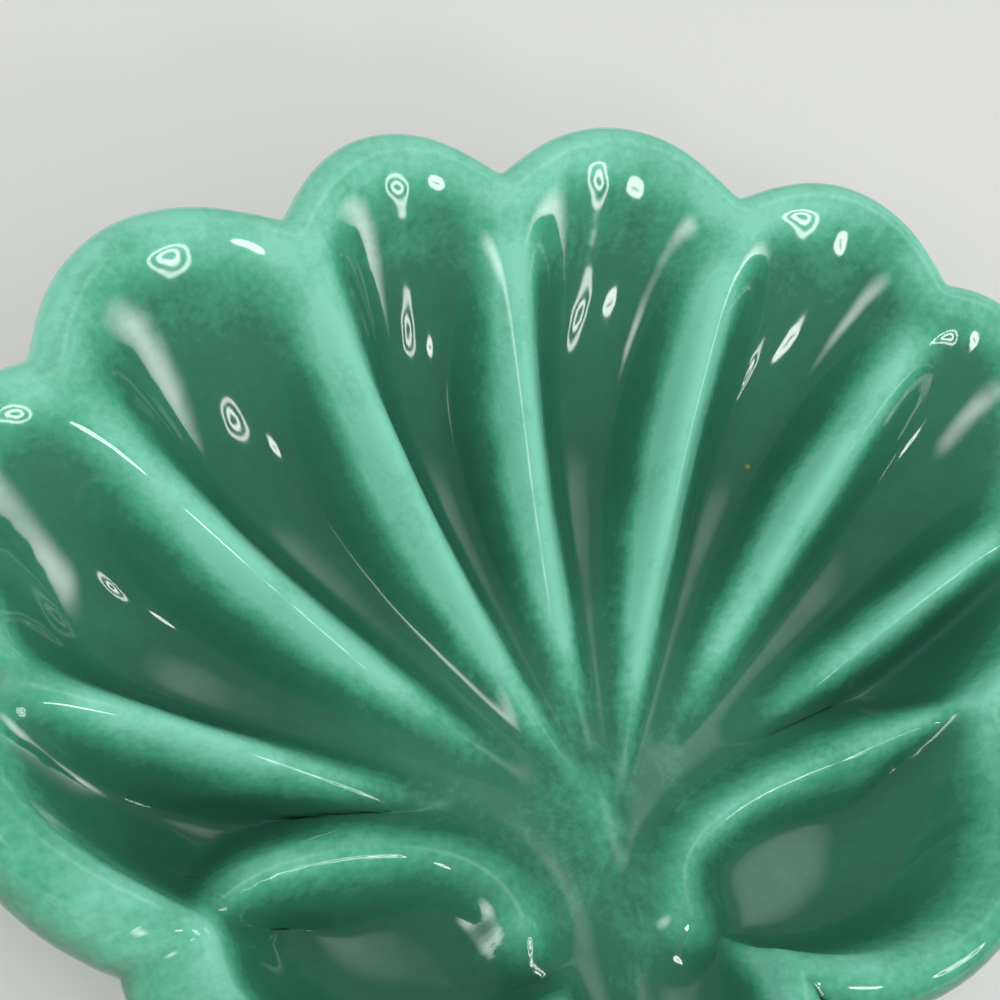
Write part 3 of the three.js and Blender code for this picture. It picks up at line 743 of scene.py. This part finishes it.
def clay_finish():
    """Matt cream clay with faint stains over a few millimetres and a fine grit."""
    material, tree = new_finish("white_earthenware_biscuit")
    place = add(tree, "ShaderNodeTexCoord").outputs["Object"]
    stains = {"Scale": per_mm(STAIN_SIZE), "Detail": 4.0}
    stain = add(tree, "ShaderNodeTexNoise", {"Vector": place}, stains).outputs["Fac"]
    grits = {"Scale": per_mm(GRIT_SIZE), "Detail": 2.0}
    grit = add(tree, "ShaderNodeTexNoise", {"Vector": place}, grits).outputs["Fac"]
    tone = add(tree, "ShaderNodeValToRGB", {"Fac": stain})
    for stop, (where, code) in zip(tone.color_ramp.elements, (STAINED, CLEAN)):
        stop.position, stop.color = where, colour(code)
    rough = add(tree, "ShaderNodeBump", {"Height": grit}, {"Strength": 0.3, "Distance": 0.0001})
    links = {"Base Color": tone.outputs["Color"], "Normal": rough.outputs["Normal"]}
    shader = add(tree, "ShaderNodeBsdfPrincipled", links, DRY_CLAY)
    add(tree, "ShaderNodeOutputMaterial", {"Surface": shader.outputs["BSDF"]})
    return material


biscuit = clay_finish()
print("clay finish:", biscuit.name)

# %% [markdown]
# ## Pieces in the frame
# Each skin takes its finish and then stands for one solid of the CAD model, which is hidden but stays in
# the simulation. Nothing on the dish moves, so all three ride on the one body.

# %% Pieces take their finishes and places
dressing = (
    (clay, biscuit, "clay_body", "bare_earthenware"),
    (glaze, copper_glaze, "glaze_coat", "green_glaze"),
    (well, well_finish, "foot_well_glaze", "well_glaze"),
)
for piece, finish, node, slot in dressing:
    piece.data.materials.append(finish)
    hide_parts(node)
    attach(piece, "root")
    print(piece.name, "stands for", node)

# %% [markdown]
# ## The floor
# The dish stands on a plain pale floor. A curved backdrop could hide the horizon, but the camera looks
# down steeply, so one large flat sheet is enough.

# %% Floor
FLOOR_HALF = 3.0                      # metres
FLOOR_PAINT = {"Base Color": colour("D9D9D6"), "Roughness": 0.8}

floor_corners = [(x * FLOOR_HALF, y * FLOOR_HALF, 0) for x, y in ((-1, -1), (1, -1), (1, 1), (-1, 1))]
floor_mesh = bpy.data.meshes.new("pale_floor")
floor_mesh.from_pydata(floor_corners, [], [(0, 1, 2, 3)])
floor = bpy.data.objects.new("pale_floor", floor_mesh)
bpy.context.scene.collection.objects.link(floor)
floor_paint, floor_tree = new_finish("pale_floor_paint")
floor_shader = add(floor_tree, "ShaderNodeBsdfPrincipled", values=FLOOR_PAINT)
add(floor_tree, "ShaderNodeOutputMaterial", {"Surface": floor_shader.outputs["BSDF"]})
floor_mesh.materials.append(floor_paint)
print("floor", 2 * FLOOR_HALF, "m wide")

# %% [markdown]
# ## Lamps
# Gloss shows in what it mirrors. Oval ring lights give the small bright rings on the lip and the walls,
# and soft panels at the sides give the long pale streaks in the flutes. Blender's own lamps are even to
# their edge, so these are thin meshes that glow, and a panel fades to nothing at its edge. The camera
# doesn't see them.

# %% Glowing shapes
LAMP_CENTRE = np.array([0, 0, 0.02])  # metres; the lamps stand round this point in the bowl


def towards(bearing, height):
    """Unit vector to a lamp, by its bearing clockwise from +Y and its height above the table in degrees,
    then two unit vectors across it."""
    b, e = np.radians([bearing, height])
    away = np.array([np.sin(b) * np.cos(e), np.cos(b) * np.cos(e), np.sin(e)])
    side = np.array([np.cos(b), -np.sin(b), 0.0])
    return away, side, np.cross(away, side)


def glowing(name, grid, fade, glow):
    """Lamp made of a grid of points that closes round its first axis. It glows where fade is 1 and is
    clear where fade is 0."""
    turns, steps = grid.shape[:2]
    n = np.arange(turns * steps).reshape(turns, steps)
    far = np.roll(n, -1, axis=0)
    quads = np.stack([n[:, :-1], far[:, :-1], far[:, 1:], n[:, 1:]], axis=-1).reshape(-1, 4)
    mesh = bpy.data.meshes.new(name)
    mesh.from_pydata((grid.reshape(-1, 3) + LAMP_CENTRE).tolist(), [], quads.tolist())
    store(mesh, "fade", "FLOAT", "value", fade)
    finish, tree = new_finish(name + "_glow")
    share = add(tree, "ShaderNodeAttribute", attribute_name="fade").outputs["Fac"]
    clear = add(tree, "ShaderNodeBsdfTransparent").outputs["BSDF"]
    lit = add(tree, "ShaderNodeEmission", values={"Strength": glow}).outputs["Emission"]
    lamp = add(tree, "ShaderNodeMixShader", {0: share, 1: clear, 2: lit})
    add(tree, "ShaderNodeOutputMaterial", {"Surface": lamp.outputs["Shader"]})
    mesh.materials.append(finish)
    holder = bpy.data.objects.new(name, mesh)
    bpy.context.scene.collection.objects.link(holder)
    holder.visible_camera = False
    print(name, "glows at", glow)


# %% Ring lights and soft panels
RING_DISTANCE, PANEL_DISTANCE = 0.8, 0.9   # metres
RING_TURNS, TUBE_STEPS = 40, 9
PANEL_TURNS, PANEL_STEPS = 32, 12


def ring_light(name, bearing, height, wide, tall, tube, glow):
    """Glowing tube bent round an oval that faces the bowl: oval radius + tube radius x cosine, and
    tube radius x sine towards the bowl."""
    away, side, rise = towards(bearing, height)
    round_oval, round_tube = np.arange(RING_TURNS) * TAU / RING_TURNS, np.linspace(0, TAU, TUBE_STEPS)
    a, c = np.meshgrid(round_oval, round_tube, indexing="ij")
    thick = tube * np.cos(c)
    across = ((wide / 2 + thick) * np.cos(a))[..., None] * side
    upright = ((tall / 2 + thick) * np.sin(a))[..., None] * rise
    depth = (RING_DISTANCE + tube * np.sin(c))[..., None] * away
    glowing(name, depth + across + upright, np.ones(a.shape), glow)


def soft_panel(name, bearing, height, wide, tall, glow):
    """Flat oval that faces the bowl, brightest in the middle and clear at its edge."""
    away, side, rise = towards(bearing, height)
    round_oval, shares = np.arange(PANEL_TURNS) * TAU / PANEL_TURNS, np.linspace(0, 1, PANEL_STEPS)
    a, share = np.meshgrid(round_oval, shares, indexing="ij")
    across = wide / 2 * (share * np.cos(a))[..., None] * side
    upright = tall / 2 * (share * np.sin(a))[..., None] * rise
    glowing(name, PANEL_DISTANCE * away + across + upright, 1 - ease(0, 1, share), glow)


ring_light("outer_ring_light", bearing=145, height=26, wide=0.23, tall=0.15, tube=0.011, glow=14.0)
ring_light("inner_ring_light", bearing=145, height=26, wide=0.10, tall=0.065, tube=0.011, glow=18.0)
ring_light("small_ring_light", bearing=178, height=34, wide=0.13, tall=0.05, tube=0.02, glow=18.0)
soft_panel("right_panel", bearing=108, height=6, wide=0.7, tall=0.4, glow=9.0)
soft_panel("left_panel", bearing=-114, height=32, wide=0.5, tall=0.4, glow=9.0)
soft_panel("high_panel", bearing=77, height=60, wide=0.7, tall=0.7, glow=1.8)

# %% [markdown]
# ## The sky
# An even pale sky gives the soft light of a studio, at a level where a colour renders about as it is
# written. Mirrored at full strength it would lay a milky veil over the glass, so the rays that the gloss
# throws back see a dimmer sky, as in a room where only the lamps are bright.

# %% Sky
SKY_COLOUR = "F0F2F1"
LIGHTING_SKY, MIRRORED_SKY = 1.0, 0.27

world = bpy.data.worlds.new("soft_studio")
bpy.context.scene.world = world
world.use_nodes = True
sky = world.node_tree.nodes["Background"]
sky.inputs["Color"].default_value = colour(SKY_COLOUR)
mirrored = add(world.node_tree, "ShaderNodeLightPath").outputs["Is Glossy Ray"]
levels = {"To Min": LIGHTING_SKY, "To Max": MIRRORED_SKY}
brightness = add(world.node_tree, "ShaderNodeMapRange", {"Value": mirrored}, levels)
world.node_tree.links.new(brightness.outputs[0], sky.inputs["Strength"])
bpy.context.scene.view_settings.view_transform = "Standard"
print("sky at", LIGHTING_SKY, "and mirrored at", MIRRORED_SKY)
